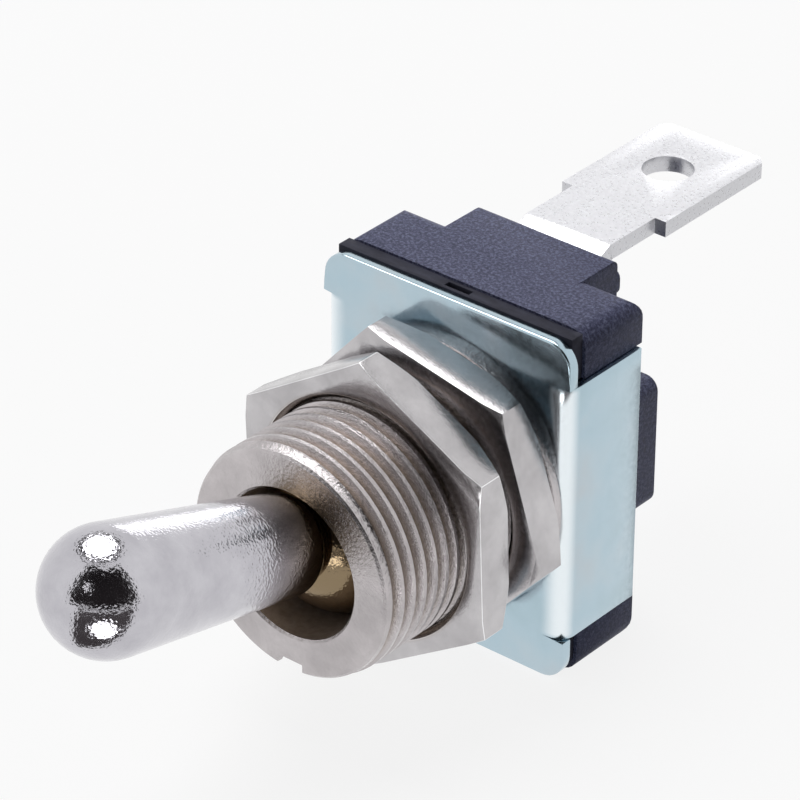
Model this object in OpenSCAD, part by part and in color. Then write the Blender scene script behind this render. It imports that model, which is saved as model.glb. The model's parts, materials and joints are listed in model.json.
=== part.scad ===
// Panel toggle switch: threaded bushing with two hex nuts, bat lever, sheet bracket,
// moulded case, snap rocker inside, one blade terminal and one short lug at the rear.
// Drawn with the bushing axis along +Z, then stood up: row -Y is the bushing's front,
// row +Z is the lever's upper throw, the origin is the bushing axis at the bracket's front.

/* [Bracket] */
// width of the plate across the flanges
plate_w = 14.8; // [12:0.1:18]
// distance of the plate's ends inside the case's
plate_in = 0.2; // [0:0.05:0.5]
// sheet thickness
sheet_t = 0.6; // [0.4:0.05:1]
// corner radius of the plate
plate_r = 1.3; // [0.4:0.1:3]
// distance of each side flange's ends inside the plate's
flange_in = 2.3; // [1.5:0.1:5]
// depth of each flange from the plate's front
flange_d = 5.45; // [4:0.05:8]
// outer radius of the flange bends
bend_r = 0.85; // [0.7:0.05:1.5]
// gap of the lance cut beside each bend
relief_w = 0.1; // [0.05:0.05:1]
// reach of that cut past the bend
relief_in = 0.05; // [0:0.05:0.3]
// width of each crimp ear
ear_w = 1.0; // [0.6:0.1:2]
// reach of each crimp ear over the case
ear_in = 0.75; // [0.4:0.05:1]

/* [Case] */
// distance of the case's ends, above and below the flanges, inside the plate's sides
case_in = 0.23; // [0:0.01:0.5]
// height of the case
case_h = 18.8; // [15:0.1:24]
// clearance of the case inside each flange
flange_gap = 0.11; // [0.03:0.01:0.3]
// radius of the case's long edges
edge_r = 0.9; // [0.2:0.1:1.5]
// thickness of the insulator between plate and case
insul_t = 0.8; // [0.4:0.05:1.5]
// distance of the insulator's sides inside the plate's
insul_side = 0.4; // [0:0.05:0.8]
// distance of the insulator's ends inside the case's
insul_in = 0.1; // [0:0.05:0.5]
// width of the notch in the insulator's upper edge
notch_w = 1.45; // [0.5:0.05:3]
// thickness and depth of that notch
notch_t = 0.35; // [0.1:0.05:0.6]
// clearance of the insulator round the bushing's staked rim
hole_gap = 0.1; // [0.05:0.05:0.4]
// depth of the case's rear face from the plate's front
case_d = 5.75; // [5:0.05:9]
// radius of the rear edges at top and bottom
case_r = 1.1; // [0.5:0.1:3]
// width of the raised rib on the rear
rib_w = 8.2; // [6.5:0.1:10]
// thickness of the rib's wall behind the strips
rib_wall = 1.1; // [0.5:0.05:2]
// radius of the rib's rear edges
rib_r = 0.4; // [0.2:0.1:1]
// width of the middle block on the rear
block_w = 12.7; // [9:0.1:13]
// height of the middle block
block_h = 7.0; // [4:0.1:10]
// rise of the middle block behind the rib
block_rise = 0.5; // [0.1:0.05:2]
// corner radius of the middle block
block_r = 0.7; // [0.3:0.1:2]
// wall of the rib beside the hollow
well_wall = 0.3; // [0.2:0.05:1]
// height of the lip round each terminal's way out
lip_h = 1.3; // [1.1:0.1:2.5]
// rise of that lip behind the rib
lip_rise = 0.3; // [0.1:0.05:0.6]
// set-back of the lip from the rib's sides
lip_in = 0.05; // [0.05:0.05:0.5]
// corner radius of the lip
lip_r = 0.4; // [0.1:0.05:0.6]
// clearance round a terminal in its way out, and round a crimp ear
slot_gap = 0.03; // [0.02:0.01:0.1]

/* [Bushing] */
// outer radius of the thread
thread_r = 5.95; // [5:0.05:7]
// length in front of the plate
bush_l = 11.2; // [8:0.1:14]
// chamfer at the front edge
bush_ch = 0.22; // [0.1:0.02:0.6]
// thickness of the collar
collar_t = 0.5; // [0.3:0.05:1]
// pitch of the thread
pitch = 0.794; // [0.5:0.002:1.5]
// depth of the thread
thread_d = 0.45; // [0.2:0.05:0.6]
// width of each thread crest
crest = 0.12; // [0.05:0.01:0.3]
// width of the first crest behind the front chamfer
land = 0.4; // [0.2:0.05:1]
// radius of the mouth the lever comes out of
mouth_r = 3.85; // [3:0.05:4.5]
// radius of the bore behind the ball
back_r = 4.6; // [4.2:0.05:5]
// distance of the back bore's shoulder behind the lever's pivot
back_in = 1.8; // [1.2:0.1:3]
// chamfer round the mouth
mouth_ch = 0.12; // [0.05:0.01:0.3]
// radius of the shank through the plate
shank_r = 5.2; // [4.9:0.05:5.5]
// radius of the staked rim behind the plate
stake_r = 5.6; // [5.3:0.05:6]
// thickness of the staked rim
stake_t = 0.4; // [0.2:0.05:0.7]
// width of the keyway under the thread
key_w = 1.6; // [1:0.1:3]
// depth of the keyway
key_d = 0.75; // [0.4:0.05:1]

/* [Nuts] */
// distance of the nuts' flats and of the bushing's collar inside the plate's sides
nut_in = 0.3; // [0.1:0.05:1]
// thickness of each nut
nut_t = 2.0; // [1.5:0.1:3]
// running clearance on the thread
nut_gap = 0.05; // [0.02:0.01:0.1]
// front face of the front nut
nut1_z = 5.93; // [4:0.01:11]
// turn of the front nut
nut1_a = 32.5; // [0:0.5:60]
// front face of the rear nut
nut2_z = 2.6; // [2.5:0.01:4]
// turn of the rear nut
nut2_a = 48.66; // [0:0.02:60]
// distance past the flats where the turned chamfer at the rear face begins
crown_in = 0.25; // [0:0.05:0.6]
// height of that chamfer
crown_h = 0.75; // [0.2:0.05:1.2]
// width of that chamfer
crown_w = 1.15; // [0.5:0.05:2]
// lead-in chamfer of the thread
nut_ch = 0.35; // [0.1:0.05:0.8]

/* [Lever] */
// distance of the pivot behind the bushing's front
pivot_in = 4.2; // [3:0.1:6]
// tilt of the lever at either end of its throw
tilt = 16; // [8:0.5:20]
// distance from the pivot to the centre of the rounded end
bat_l = 16.97; // [12:0.01:22]
// radius of the rounded end
bat_r = 3.08; // [2:0.02:4]
// radius of the bat where it meets the shoulder
root_r = 2.47; // [1.8:0.01:3]
// height of the shoulder above the pivot
root_z = 5.0; // [4.2:0.1:6]
// height of the rounded shoulder under that
shoulder_h = 0.7; // [0.3:0.05:1]
// radius of the neck and of the inner stem
stem_r = 1.9; // [1.5:0.05:2.1]
// radius of the ball
ball_r = 4.0; // [3.5:0.05:4.3]
// running clearance of the ball in its seat
ball_gap = 0.05; // [0.02:0.01:0.1]
// length of the stem behind the pivot
stem_l = 8.0; // [6:0.1:9]
// radius of the cross pin
pin_r = 0.7; // [0.5:0.05:1]
// half length of the cross pin
pin_x = 4.8; // [4.3:0.05:4.9]
// clearance at each end of the cross pin
pin_end = 0.1; // [0.05:0.05:0.2]
// wall of the sleeve that holds the pin in
ret_wall = 0.35; // [0.25:0.05:0.5]
// clearance of that sleeve in the back bore and under the pin
ret_gap = 0.02; // [0.01:0.01:0.05]

/* [Snap mechanism] */
// radius of the plunger and of its nose
plunger_r = 1.05; // [0.7:0.05:1.3]
// running clearance of the plunger and of the rocker's pivot
slide_gap = 0.05; // [0.02:0.01:0.1]
// distance from the lever's pivot to the centre of the nose
nose_l = 10.0; // [9:0.1:11]
// length of the plunger's straight part
plunger_l = 2.9; // [2:0.1:4]
// depth of the spring's blind hole in the stem
hole_l = 4.6; // [3:0.1:5.5]
// radius of the spring's wire
wire_r = 0.13; // [0.08:0.01:0.2]
// coils in the spring
coils = 6; // [4:1:12]
// tilt of the rocker at either end
rock_a = 8; // [4:0.5:10]
// distance of the rocker's pivot behind the trough's valley
rock_in = 0.85; // [0.8:0.05:1.5]
// clearance between the nose and the trough
nose_gap = 0.05; // [0.02:0.01:0.1]
// radius of the trough the nose runs in
trough_r = 5.3; // [5:0.05:6]
// half height of the trough
trough_x = 2.75; // [2.5:0.05:3.2]
// thickness of the rocker
rock_t = 0.6; // [0.4:0.05:0.8]
// half width of the rocker
rock_x = 2.9; // [2:0.1:3.5]
// half length of the rocker
rock_l = 5.6; // [4:0.1:6]
// depth of the hollow's floor behind the rocker's pivot
floor_in = 0.35; // [0.3:0.05:1]
// set-back of the cradle from the rocker's sides
cradle_in = 0.7; // [0.2:0.05:1.5]
// radius of the cradle's tenon
tenon_r = 0.6; // [0.3:0.05:1]
// radius of the cradle's rounded top
cradle_r = 0.45; // [0.3:0.05:0.6]
// distance of each contact from the middle
contact_y = 4.6; // [3.5:0.1:5]
// radius of a contact's face
contact_r = 1.0; // [0.6:0.1:1.4]
// radius of a contact's rivet shank
shank_c = 0.5; // [0.3:0.05:0.7]
// width of a rivet's turned over rim
rivet_w = 0.25; // [0.1:0.05:0.4]
// height of that rim
rivet_h = 0.2; // [0.1:0.05:0.4]
// height of the moving contact over the rocker
button_h = 0.6; // [0.3:0.05:1]
// width and half height of the slope on its face
dome = 0.4; // [0.1:0.05:0.8]
// clearance between the closed contacts
contact_gap = 0.05; // [0.02:0.01:0.2]
// width of each stop under the rocker's lower wing
stop_w = 0.6; // [0.3:0.05:1]
// length of each stop
stop_l = 1.0; // [0.5:0.1:2]
// distance of the stops past the contact
stop_in = 0.3; // [0:0.05:0.6]
// clearance between the rocker and its stops
stop_gap = 0.08; // [0.03:0.01:0.2]

/* [Terminals] */
// thickness of the terminal strip
strip_t = 0.85; // [0.5:0.05:1]
// depth of the strips' front face behind the hollow's floor
strip_in = 0.55; // [0.3:0.05:1]
// width of the blade
blade_w = 6.3; // [5.2:0.1:8]
// width of the neck
neck_w = 5.0; // [3:0.1:6]
// wall of the case over the strips' outer faces
strip_wall = 1.0; // [0.8:0.05:2]
// rise of the step up to the blade
step_up = 0.54; // [0.1:0.02:1]
// length of that step
step_l = 1.15; // [0.6:0.05:2]
// length of the neck behind the step
neck_l = 3.55; // [2:0.05:5]
// length of the blade
blade_l = 8.25; // [6:0.05:12]
// chamfer of the blade's end corners
blade_ch = 0.45; // [0.2:0.05:1.2]
// radius of the blade's hole
hole_r = 1.3; // [0.8:0.05:1.8]
// distance of the hole from the blade's end
hole_in = 3.9; // [2:0.1:5]
// reach of the upper strip below its contact
strip_end = 1.2; // [0.8:0.1:2]
// length of the short lug behind the lip
lug_l = 2.4; // [1.8:0.1:4]
// radius of the lug's end corners
lug_r = 1.3; // [0.3:0.1:2]
// radius of the lug's hole
lug_hole_r = 0.7; // [0.4:0.05:0.9]

/* [Hidden] */
$fn = 96;
over = 1;                               // how far a cut or a hidden root runs past a face
thick = 8;                              // longer than any wall that a hole goes through
plate_h = case_h - 2 * plate_in;
flange_y = plate_h / 2 - flange_in;     // half height of each flange
case_w = plate_w - 2 * case_in;
insul_w = plate_w - 2 * insul_side;
insul_h = case_h - 2 * insul_in;
inner_z = case_h / 2 - strip_wall;      // height of the strips' outer faces
pz = bush_l - pivot_in;                 // pivot height over the plate's front
bore_z = pz - back_in;                  // where the back bore ends
nut_af = plate_w - 2 * nut_in;          // width of the nuts across the flats
nut_crown = nut_af / 2 + crown_in;      // radius where the turned chamfer begins
insul_b = sheet_t + insul_t;            // where the case begins
end_z = flange_y + relief_w;            // where the ends of case and insulator begin
waist_w = plate_w - 2 * (sheet_t + flange_gap);
valley_d = nose_l + plunger_r + nose_gap - pz;
rock_d = valley_d + rock_in;            // depth of the rocker's pivot
well_d = rock_d + floor_in;             // depth of the hollow's floor
strip_f = well_d + strip_in;            // front face of the strips in the channel
strip_b = strip_f + strip_t;
rib_d = strip_b + rib_wall;             // depth of the rib's rear face
lip_d = rib_d + lip_rise;
step_y = lip_d + slot_gap + step_l;     // where the step ends and the blade's level begins
blade_z = inner_z + step_up;            // height of the blade's top face
blade_y0 = step_y + neck_l;             // the blade's shoulders
blade_y1 = blade_y0 + blade_l;
hole_y = blade_y1 - hole_in;
lug_y1 = lip_d + lug_l;
bat_s = (bat_r - root_r) / (bat_l - root_z);
// front face of the rocker's flat wings, from its pivot
wing_y = sqrt(trough_r * trough_r - trough_x * trough_x) - trough_r - rock_in;
wing_b = wing_y + rock_t;
stop_z = contact_y + stop_in;
stop_d = rock_d + wing_b / cos(rock_a) + (stop_z + stop_l / 2) * tan(rock_a) + stop_gap;
fixed_f = rock_d + (wing_b + button_h) * cos(rock_a) + (contact_y + contact_r) * sin(rock_a)
          + contact_gap;
threads = floor((bush_l - bush_ch - land - collar_t) / pitch);

// stands a shape up from the drawing frame
module up() { rotate([90, 0, 0]) children(); }

// a shape drawn in the lever's own frame, tilted to its upper throw
module on_lever() { up() translate([0, 0, pz]) rotate([-tilt, 0, 0]) children(); }

// a shape drawn about the rocker's pivot, in (X, depth, height)
module on_rocker() { translate([0, rock_d, 0]) rotate([rock_a, 0, 0]) children(); }

// a shape turned about a line along the row's +Y, drawn as (radius, depth)
module on_depth(d, z) { translate([0, d, z]) rotate([-90, 0, 0]) children(); }

// an outline of (depth, height) given a width across X, in the row frame
module across(w) { rotate([90, 0, 90]) translate([0, 0, -w / 2]) linear_extrude(w) children(); }

module round_rect(w, h, r) {
    translate([-w / 2 + r, -h / 2]) square([w - 2 * r, h]);
    translate([-w / 2, -h / 2 + r]) square([w, h - 2 * r]);
    for (x = [-1, 1], y = [-1, 1]) translate([x * (w / 2 - r), y * (h / 2 - r)]) circle(r);
}

// a rear outline in (depth, height), from depth a to b, rounded at its far corners
module rear_outline(a, b, h, r) {
    translate([a, -h / 2]) square([b - a - r, h]);
    translate([a, -h / 2 + r]) square([b - a, h - 2 * r]);
    for (y = [-1, 1]) translate([b - r, y * (h / 2 - r)]) circle(r);
}

// the two places beside the flanges, for outlines that are wider above and below them
module beside_flanges(waist) {
    for (s = [-1, 1]) translate([s * (waist + plate_w) / 2, 0])
        square([plate_w, 2 * end_z], center = true);
}

// ---- bracket -------------------------------------------------------------------------
module bend_section() {
    flat = plate_w / 2 - bend_r;
    translate([-flat, -sheet_t]) square([2 * flat, sheet_t]);
    for (s = [0, 1]) mirror([s, 0]) {
        translate([plate_w / 2 - sheet_t, -flange_d]) square([sheet_t, flange_d - bend_r]);
        intersection() {
            translate([flat, -bend_r]) difference() {
                circle(bend_r);
                circle(bend_r - sheet_t);
            }
            translate([flat, -bend_r]) square(bend_r + over);
        }
    }
}

module bracket() color([0.69, 0.78, 0.82]) up() difference() {
    union() {
        translate([0, 0, -sheet_t]) linear_extrude(sheet_t) difference() {
            round_rect(plate_w, plate_h, plate_r);
            beside_flanges(plate_w - 2 * (bend_r + relief_in));
        }
        translate([0, flange_y, 0]) rotate([90, 0, 0]) linear_extrude(2 * flange_y) bend_section();
        for (sx = [-1, 1], sy = [-1, 1])
            translate([sx * (plate_w / 2 - (ear_in + sheet_t) / 2), sy * (flange_y - ear_w / 2),
                       -flange_d + sheet_t / 2])
                cube([ear_in + sheet_t, ear_w, sheet_t], center = true);
    }
    translate([0, 0, -sheet_t - over]) cylinder(r = shank_r, h = sheet_t + 2 * over);
}

// ---- insulator -----------------------------------------------------------------------
module insulator() color([0.2, 0.2, 0.26]) up() translate([0, 0, -insul_b]) difference() {
    linear_extrude(insul_t) difference() {
        square([insul_w, insul_h], center = true);
        beside_flanges(plate_w - 2 * (bend_r + relief_in));
        circle(stake_r + hole_gap);
    }
    translate([0, (insul_h + over) / 2 - notch_t, insul_t / 2])
        cube([notch_w, over, notch_t], center = true);
}

// ---- case ----------------------------------------------------------------------------
module case_ends() {
    intersection() {
        translate([0, case_d, 0]) up() linear_extrude(case_d - insul_b) difference() {
            round_rect(case_w, case_h, edge_r);
            beside_flanges(waist_w);
        }
        across(case_w) rear_outline(insul_b, case_d, case_h, case_r);
    }
}

module lip(s) {
    translate([0, lip_d, s * (inner_z - strip_t / 2)]) up()
        linear_extrude(lip_rise + over) round_rect(rib_w - 2 * lip_in, lip_h, lip_r);
}

module terminal_way(s) {
    translate([0, lip_d, s * (inner_z - strip_t / 2)])
        cube([neck_w + 2 * slot_gap, 2 * (lip_d - strip_f), strip_t + 2 * slot_gap],
             center = true);
}

// room for one ear, open to the case's side and rear
module ear_pocket(sx, sy) {
    front = flange_d - sheet_t - slot_gap;
    translate([sx * plate_w / 2, front + case_d / 2, sy * (flange_y - ear_w / 2)])
        cube([2 * (sheet_t + ear_in + slot_gap), case_d, ear_w + 2 * slot_gap], center = true);
}

// two nubs that the rocker's lower wing comes to rest on
module stops() {
    for (s = [-1, 1])
        translate([s * (neck_w / 2 + slot_gap + stop_w / 2), (stop_d + well_d + over) / 2, -stop_z])
            cube([stop_w, well_d + over - stop_d, stop_l], center = true);
}

module case_body() color([0.25, 0.25, 0.32]) {
    hollow = [rib_w - 2 * well_wall, well_d - insul_b + over, 2 * (inner_z + slot_gap)];
    channel = [neck_w + 2 * slot_gap, strip_b + slot_gap - insul_b, hollow[2]];
    difference() {
        union() {
            difference() {
                union() {
                    case_ends();
                    across(rib_w) rear_outline(insul_b, rib_d, case_h, rib_r);
                    translate([0, rib_d + block_rise, 0]) up()
                        linear_extrude(rib_d + block_rise - case_d + over)
                            round_rect(block_w, block_h, block_r);
                    for (s = [-1, 1]) lip(s);
                }
                translate([0, well_d - hollow[1] / 2, 0]) cube(hollow, center = true);
            }
            stops();
        }
        translate([0, strip_b + slot_gap - channel[1] / 2, 0]) cube(channel, center = true);
        for (s = [-1, 1]) terminal_way(s);
        for (sx = [-1, 1], sy = [-1, 1]) ear_pocket(sx, sy);
    }
}

// ---- bushing -------------------------------------------------------------------------
// one groove of the thread in (radius, height), its front edge at height z
function groove(z) = [[thread_r, z], [thread_r - thread_d, z - (pitch - crest) / 2],
                      [thread_r, z - pitch + crest]];

module bushing_outline() {
    thread_z = bush_l - bush_ch - land;
    polygon(concat(
        [[0, bush_l], [thread_r - bush_ch, bush_l], [thread_r, bush_l - bush_ch]],
        [for (i = [0:threads - 1]) each groove(thread_z - i * pitch)],
        [[thread_r, collar_t], [nut_af / 2, collar_t], [nut_af / 2, 0], [shank_r, 0],
         [shank_r, -sheet_t], [stake_r, -sheet_t], [stake_r, -sheet_t - stake_t],
         [0, -sheet_t - stake_t]]));
}

module bushing() color([0.66, 0.64, 0.63]) up() difference() {
    rear = sheet_t + stake_t + over;
    groove_r = pin_r + slide_gap;
    rotate_extrude() bushing_outline();
    translate([0, 0, pz]) cylinder(r = mouth_r, h = pivot_in + over);
    translate([0, 0, bush_l - mouth_ch]) cylinder(r1 = mouth_r, r2 = mouth_r + 2 * mouth_ch,
                                                  h = 2 * mouth_ch);
    translate([0, 0, pz]) sphere(r = ball_r + ball_gap);
    translate([0, 0, bore_z - over]) cylinder(r = ball_r + ball_gap, h = back_in + over);
    translate([0, 0, -rear]) cylinder(r = back_r, h = rear + bore_z);
    // grooves that the cross pin slides up from behind
    translate([0, 0, pz]) rotate([0, 90, 0])
        cylinder(r = groove_r, h = 2 * (pin_x + pin_end), center = true);
    translate([-pin_x - pin_end, -groove_r, -rear])
        cube([2 * (pin_x + pin_end), 2 * groove_r, pz + rear]);
    // keyway along the underside
    translate([-key_w / 2, -thread_r - over, collar_t]) cube([key_w, key_d + over, bush_l]);
}

// ---- nuts ----------------------------------------------------------------------------
module hex_nut(front, a) {
    bore = thread_r + nut_gap;
    up() translate([0, 0, front - nut_t]) difference() {
        intersection() {
            rotate([0, 0, a]) cylinder(r = nut_af / sqrt(3), h = nut_t, $fn = 6);
            rotate_extrude() polygon([[0, 0], [nut_crown, 0], [nut_crown + crown_w, crown_h],
                                      [nut_crown + crown_w, nut_t], [0, nut_t]]);
        }
        translate([0, 0, -over]) cylinder(r = bore, h = nut_t + 2 * over);
        translate([0, 0, nut_t - nut_ch]) cylinder(r1 = bore, r2 = bore + 2 * nut_ch,
                                                   h = 2 * nut_ch);
    }
}

module rear_nut() color([0.68, 0.66, 0.66]) hex_nut(nut2_z, nut2_a);

module front_nut() color([0.68, 0.66, 0.66]) hex_nut(nut1_z, nut1_a);

// ---- lever ---------------------------------------------------------------------------
module lever() color([0.82, 0.82, 0.84]) on_lever() difference() {
    union() {
        rotate_extrude() polygon(concat(
            [[0, 0], [stem_r, 0]],
            [for (a = [0:15:90])
                [stem_r + (root_r - stem_r) * sin(a), root_z - shoulder_h * cos(a)]],
            [[bat_r * cos(asin(bat_s)), bat_l - bat_r * bat_s], [0, bat_l - bat_r * bat_s]]));
        translate([0, 0, bat_l]) sphere(r = bat_r);
        sphere(r = ball_r);
        translate([0, 0, -stem_l]) cylinder(r = stem_r, h = stem_l);
    }
    translate([0, 0, -stem_l - over]) cylinder(r = plunger_r + slide_gap, h = hole_l + over);
    rotate([0, 90, 0]) cylinder(r = pin_r, h = 2 * pin_x, center = true);
}

module pivot_pin() color([0.6, 0.6, 0.62])
    on_lever() rotate([0, 90, 0]) cylinder(r = pin_r, h = 2 * pin_x, center = true);

// a sleeve behind the ball, with two keys that reach up the grooves to the pin
module pin_retainer() color([0.72, 0.6, 0.36]) up() difference() {
    rear = sheet_t + stake_t - pin_end;
    union() {
        translate([0, 0, -rear]) cylinder(r = back_r - ret_gap, h = rear + bore_z - slide_gap);
        translate([0, 0, (pz - pin_r - ret_gap) / 2])
            cube([2 * (back_r - slide_gap), 2 * pin_r, pz - pin_r - ret_gap], center = true);
    }
    translate([0, 0, -rear - over]) cylinder(r = back_r - ret_wall, h = rear + pz + over);
}

// ---- snap mechanism ------------------------------------------------------------------
module plunger() color([0.85, 0.84, 0.8]) on_lever() translate([0, 0, -nose_l]) union() {
    sphere(r = plunger_r);
    cylinder(r = plunger_r, h = plunger_l);
}

module plunger_spring() {
    end_gap = 0.01;
    bottom = -nose_l + plunger_l;
    free_l = hole_l - stem_l - bottom;
    step = (free_l - 2 * (wire_r + end_gap)) / coils;
    mid_r = plunger_r - 2 * slide_gap - wire_r;
    color([0.75, 0.75, 0.77]) on_lever() translate([0, 0, bottom + wire_r + end_gap])
        linear_extrude(height = step * coils, twist = -360 * coils, slices = 16 * coils, $fn = 6)
            polygon([for (t = [0:45:315]) let (q = wire_r * sin(t) / step * 360)
                (mid_r + wire_r * cos(t)) * [cos(q), sin(q)]]);
}

// the rocker's section in (depth, height): two flat wings and the trough between them
module rocker_outline() {
    difference() {
        union() {
            intersection() {
                translate([-trough_r - rock_in, 0]) difference() {
                    circle(trough_r + rock_t);
                    circle(trough_r);
                }
                translate([wing_y, -trough_x - rock_t / 3])
                    square([trough_r, 2 * (trough_x + rock_t / 3)]);
            }
            for (s = [-1, 1]) translate([wing_y, min(s * trough_x, s * rock_l)])
                square([rock_t, rock_l - trough_x]);
        }
        circle(cradle_r + slide_gap);
    }
}

module rocker() color([0.8, 0.62, 0.38]) on_rocker() difference() {
    across(2 * rock_x) rocker_outline();
    on_depth(wing_y - over, contact_y) cylinder(r = shank_c, h = rock_t + 2 * over);
}

module moving_contact() color([0.86, 0.85, 0.82])
    on_rocker() on_depth(wing_y, contact_y) rotate_extrude() polygon([
        [0, -rivet_h], [shank_c + rivet_w, -rivet_h], [shank_c + rivet_w, 0], [shank_c, 0],
        [shank_c, rock_t], [contact_r, rock_t], [contact_r, rock_t + button_h - dome / 2],
        [contact_r - dome, rock_t + button_h], [0, rock_t + button_h]]);

module fixed_contact() color([0.86, 0.85, 0.82])
    on_depth(fixed_f, contact_y) rotate_extrude() polygon([
        [0, 0], [contact_r, 0], [contact_r, strip_f - fixed_f], [shank_c, strip_f - fixed_f],
        [shank_c, strip_b - fixed_f], [0, strip_b - fixed_f]]);

// ---- terminals -----------------------------------------------------------------------
// the strip inside the case, from height a to b, as an upright plate
module strip_plate(a, b) {
    translate([-neck_w / 2, strip_f, a]) cube([neck_w, strip_t, b - a]);
}

module upper_terminal() color([0.82, 0.82, 0.84]) difference() {
    step_y0 = step_y - step_l;
    // how far the underside's corners lie behind the upper face's, for an even thickness
    slant = strip_t * tan(atan(step_up / step_l) / 2);
    end = blade_y0 + over / 2;
    union() {
        strip_plate(contact_y - strip_end, inner_z);
        // way out through the case, then the step up to the blade's level
        across(neck_w) polygon([
            [strip_f, inner_z - strip_t], [step_y0 + slant, inner_z - strip_t],
            [step_y + slant, blade_z - strip_t], [end, blade_z - strip_t],
            [end, blade_z], [step_y, blade_z], [step_y0, inner_z], [strip_f, inner_z]]);
        translate([0, 0, blade_z - strip_t]) linear_extrude(strip_t) polygon([
            [-blade_w / 2, blade_y0], [blade_w / 2, blade_y0],
            [blade_w / 2, blade_y1 - blade_ch], [blade_w / 2 - blade_ch, blade_y1],
            [-blade_w / 2 + blade_ch, blade_y1], [-blade_w / 2, blade_y1 - blade_ch]]);
    }
    translate([0, hole_y, blade_z]) cylinder(r = hole_r, h = thick, center = true);
    on_depth(strip_f, contact_y) cylinder(r = shank_c, h = 2 * over, center = true);
}

module lower_terminal() color([0.82, 0.82, 0.84]) difference() {
    union() {
        strip_plate(-inner_z, 2 * tenon_r);
        translate([0, 0, -inner_z]) linear_extrude(strip_t) union() {
            translate([-neck_w / 2, strip_f]) square([neck_w, lug_y1 - strip_f - lug_r]);
            translate([-neck_w / 2 + lug_r, strip_f])
                square([neck_w - 2 * lug_r, lug_y1 - strip_f]);
            for (s = [-1, 1]) translate([s * (neck_w / 2 - lug_r), lug_y1 - lug_r]) circle(lug_r);
        }
    }
    translate([0, lug_y1 - lug_r, -inner_z])
        cylinder(r = lug_hole_r, h = thick, center = true);
    on_depth(strip_f, 0) cylinder(r = tenon_r, h = 2 * over, center = true);
}

// the rocker's bearing: a rounded bar across the case, riveted through the lower strip
module cradle() color([0.8, 0.62, 0.38]) union() {
    across(2 * (rock_x - cradle_in)) union() {
        translate([rock_d, 0]) circle(cradle_r);
        translate([rock_d, -cradle_r]) square([strip_f - rock_d, 2 * cradle_r]);
    }
    on_depth(strip_f - strip_in / 2, 0) cylinder(r = tenon_r, h = strip_t + strip_in / 2);
}

bracket();
insulator();
case_body();  // case
bushing();
rear_nut();
front_nut();
lever();
pivot_pin();
pin_retainer();
plunger();
plunger_spring();
rocker();
moving_contact();
fixed_contact();
upper_terminal();
lower_terminal();
cradle();
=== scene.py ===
"""Panel toggle switch: the looks of the bracket, case, bushing, nuts, lever and terminals."""
import json
import math

import bmesh
import bpy
from mathutils import Matrix, Vector


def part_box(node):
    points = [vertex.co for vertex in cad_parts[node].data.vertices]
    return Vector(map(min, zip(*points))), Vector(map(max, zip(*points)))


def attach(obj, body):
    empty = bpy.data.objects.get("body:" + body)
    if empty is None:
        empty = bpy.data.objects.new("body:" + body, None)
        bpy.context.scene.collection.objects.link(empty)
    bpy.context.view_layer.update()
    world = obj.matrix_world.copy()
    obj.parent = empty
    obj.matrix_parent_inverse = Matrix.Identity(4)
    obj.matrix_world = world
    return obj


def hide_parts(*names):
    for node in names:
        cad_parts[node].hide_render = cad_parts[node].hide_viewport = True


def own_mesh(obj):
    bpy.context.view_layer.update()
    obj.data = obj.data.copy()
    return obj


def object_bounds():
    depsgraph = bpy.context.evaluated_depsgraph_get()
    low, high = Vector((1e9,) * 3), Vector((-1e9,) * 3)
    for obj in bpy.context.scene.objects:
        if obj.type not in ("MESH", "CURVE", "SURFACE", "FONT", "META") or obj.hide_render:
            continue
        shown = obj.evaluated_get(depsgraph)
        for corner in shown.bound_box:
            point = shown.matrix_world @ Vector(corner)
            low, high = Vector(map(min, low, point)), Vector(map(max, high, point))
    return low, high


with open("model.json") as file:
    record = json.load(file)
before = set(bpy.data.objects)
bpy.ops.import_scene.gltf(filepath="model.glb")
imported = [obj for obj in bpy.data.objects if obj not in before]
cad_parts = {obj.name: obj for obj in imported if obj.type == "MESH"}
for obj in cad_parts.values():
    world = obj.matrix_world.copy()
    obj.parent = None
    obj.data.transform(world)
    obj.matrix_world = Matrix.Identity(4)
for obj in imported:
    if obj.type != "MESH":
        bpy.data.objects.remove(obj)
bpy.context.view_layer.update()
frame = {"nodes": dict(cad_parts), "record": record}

MM = 0.001
joints = {joint["name"]: joint for joint in frame["record"]["behaviour"]["joints"]}

# ---------------------------------------------------------------------------------------
# Viewpoint: a long lens from the right front, looking down on the lever and the bushing.
# The eye is eye_away from the origin and moved sideways and up until the switch is framed.
azimuth, elevation, roll = math.radians(39.49), math.radians(31.11), math.radians(0.415)
back = Vector((math.sin(azimuth) * math.cos(elevation), -math.cos(azimuth) * math.cos(elevation),
               math.sin(elevation)))
level = Vector((math.cos(azimuth), math.sin(azimuth), 0))
lifted = back.cross(level)
right = level * math.cos(roll) + lifted * math.sin(roll)
above = lifted * math.cos(roll) - level * math.sin(roll)
lens_data = bpy.data.cameras.new("camera")
lens_data.sensor_width = 36
lens_data.lens = 216
lens_data.clip_start = 0.01
camera = bpy.data.objects.new("camera", lens_data)
bpy.context.scene.collection.objects.link(camera)
sideways, upward, eye_away = -2.04 * MM, 3.15 * MM, 227.3 * MM
eye = right * sideways + above * upward + back * eye_away
camera.matrix_world = Matrix((
    (right.x, above.x, back.x, eye.x), (right.y, above.y, back.y, eye.y),
    (right.z, above.z, back.z, eye.z), (0, 0, 0, 1)))
bpy.context.scene.camera = camera

# ---------------------------------------------------------------------------------------
# Bracket: one piece of zinc plated sheet. The plate is blanked with rounded corners, both
# sides are folded back over the case with a relief cut beside each bend, and four small
# ears are crimped over the case's shoulders.


def only(obj):
    """Selects one object alone and makes it the active one."""
    bpy.ops.object.select_all(action="DESELECT")
    obj.select_set(True)
    bpy.context.view_layer.objects.active = obj


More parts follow.
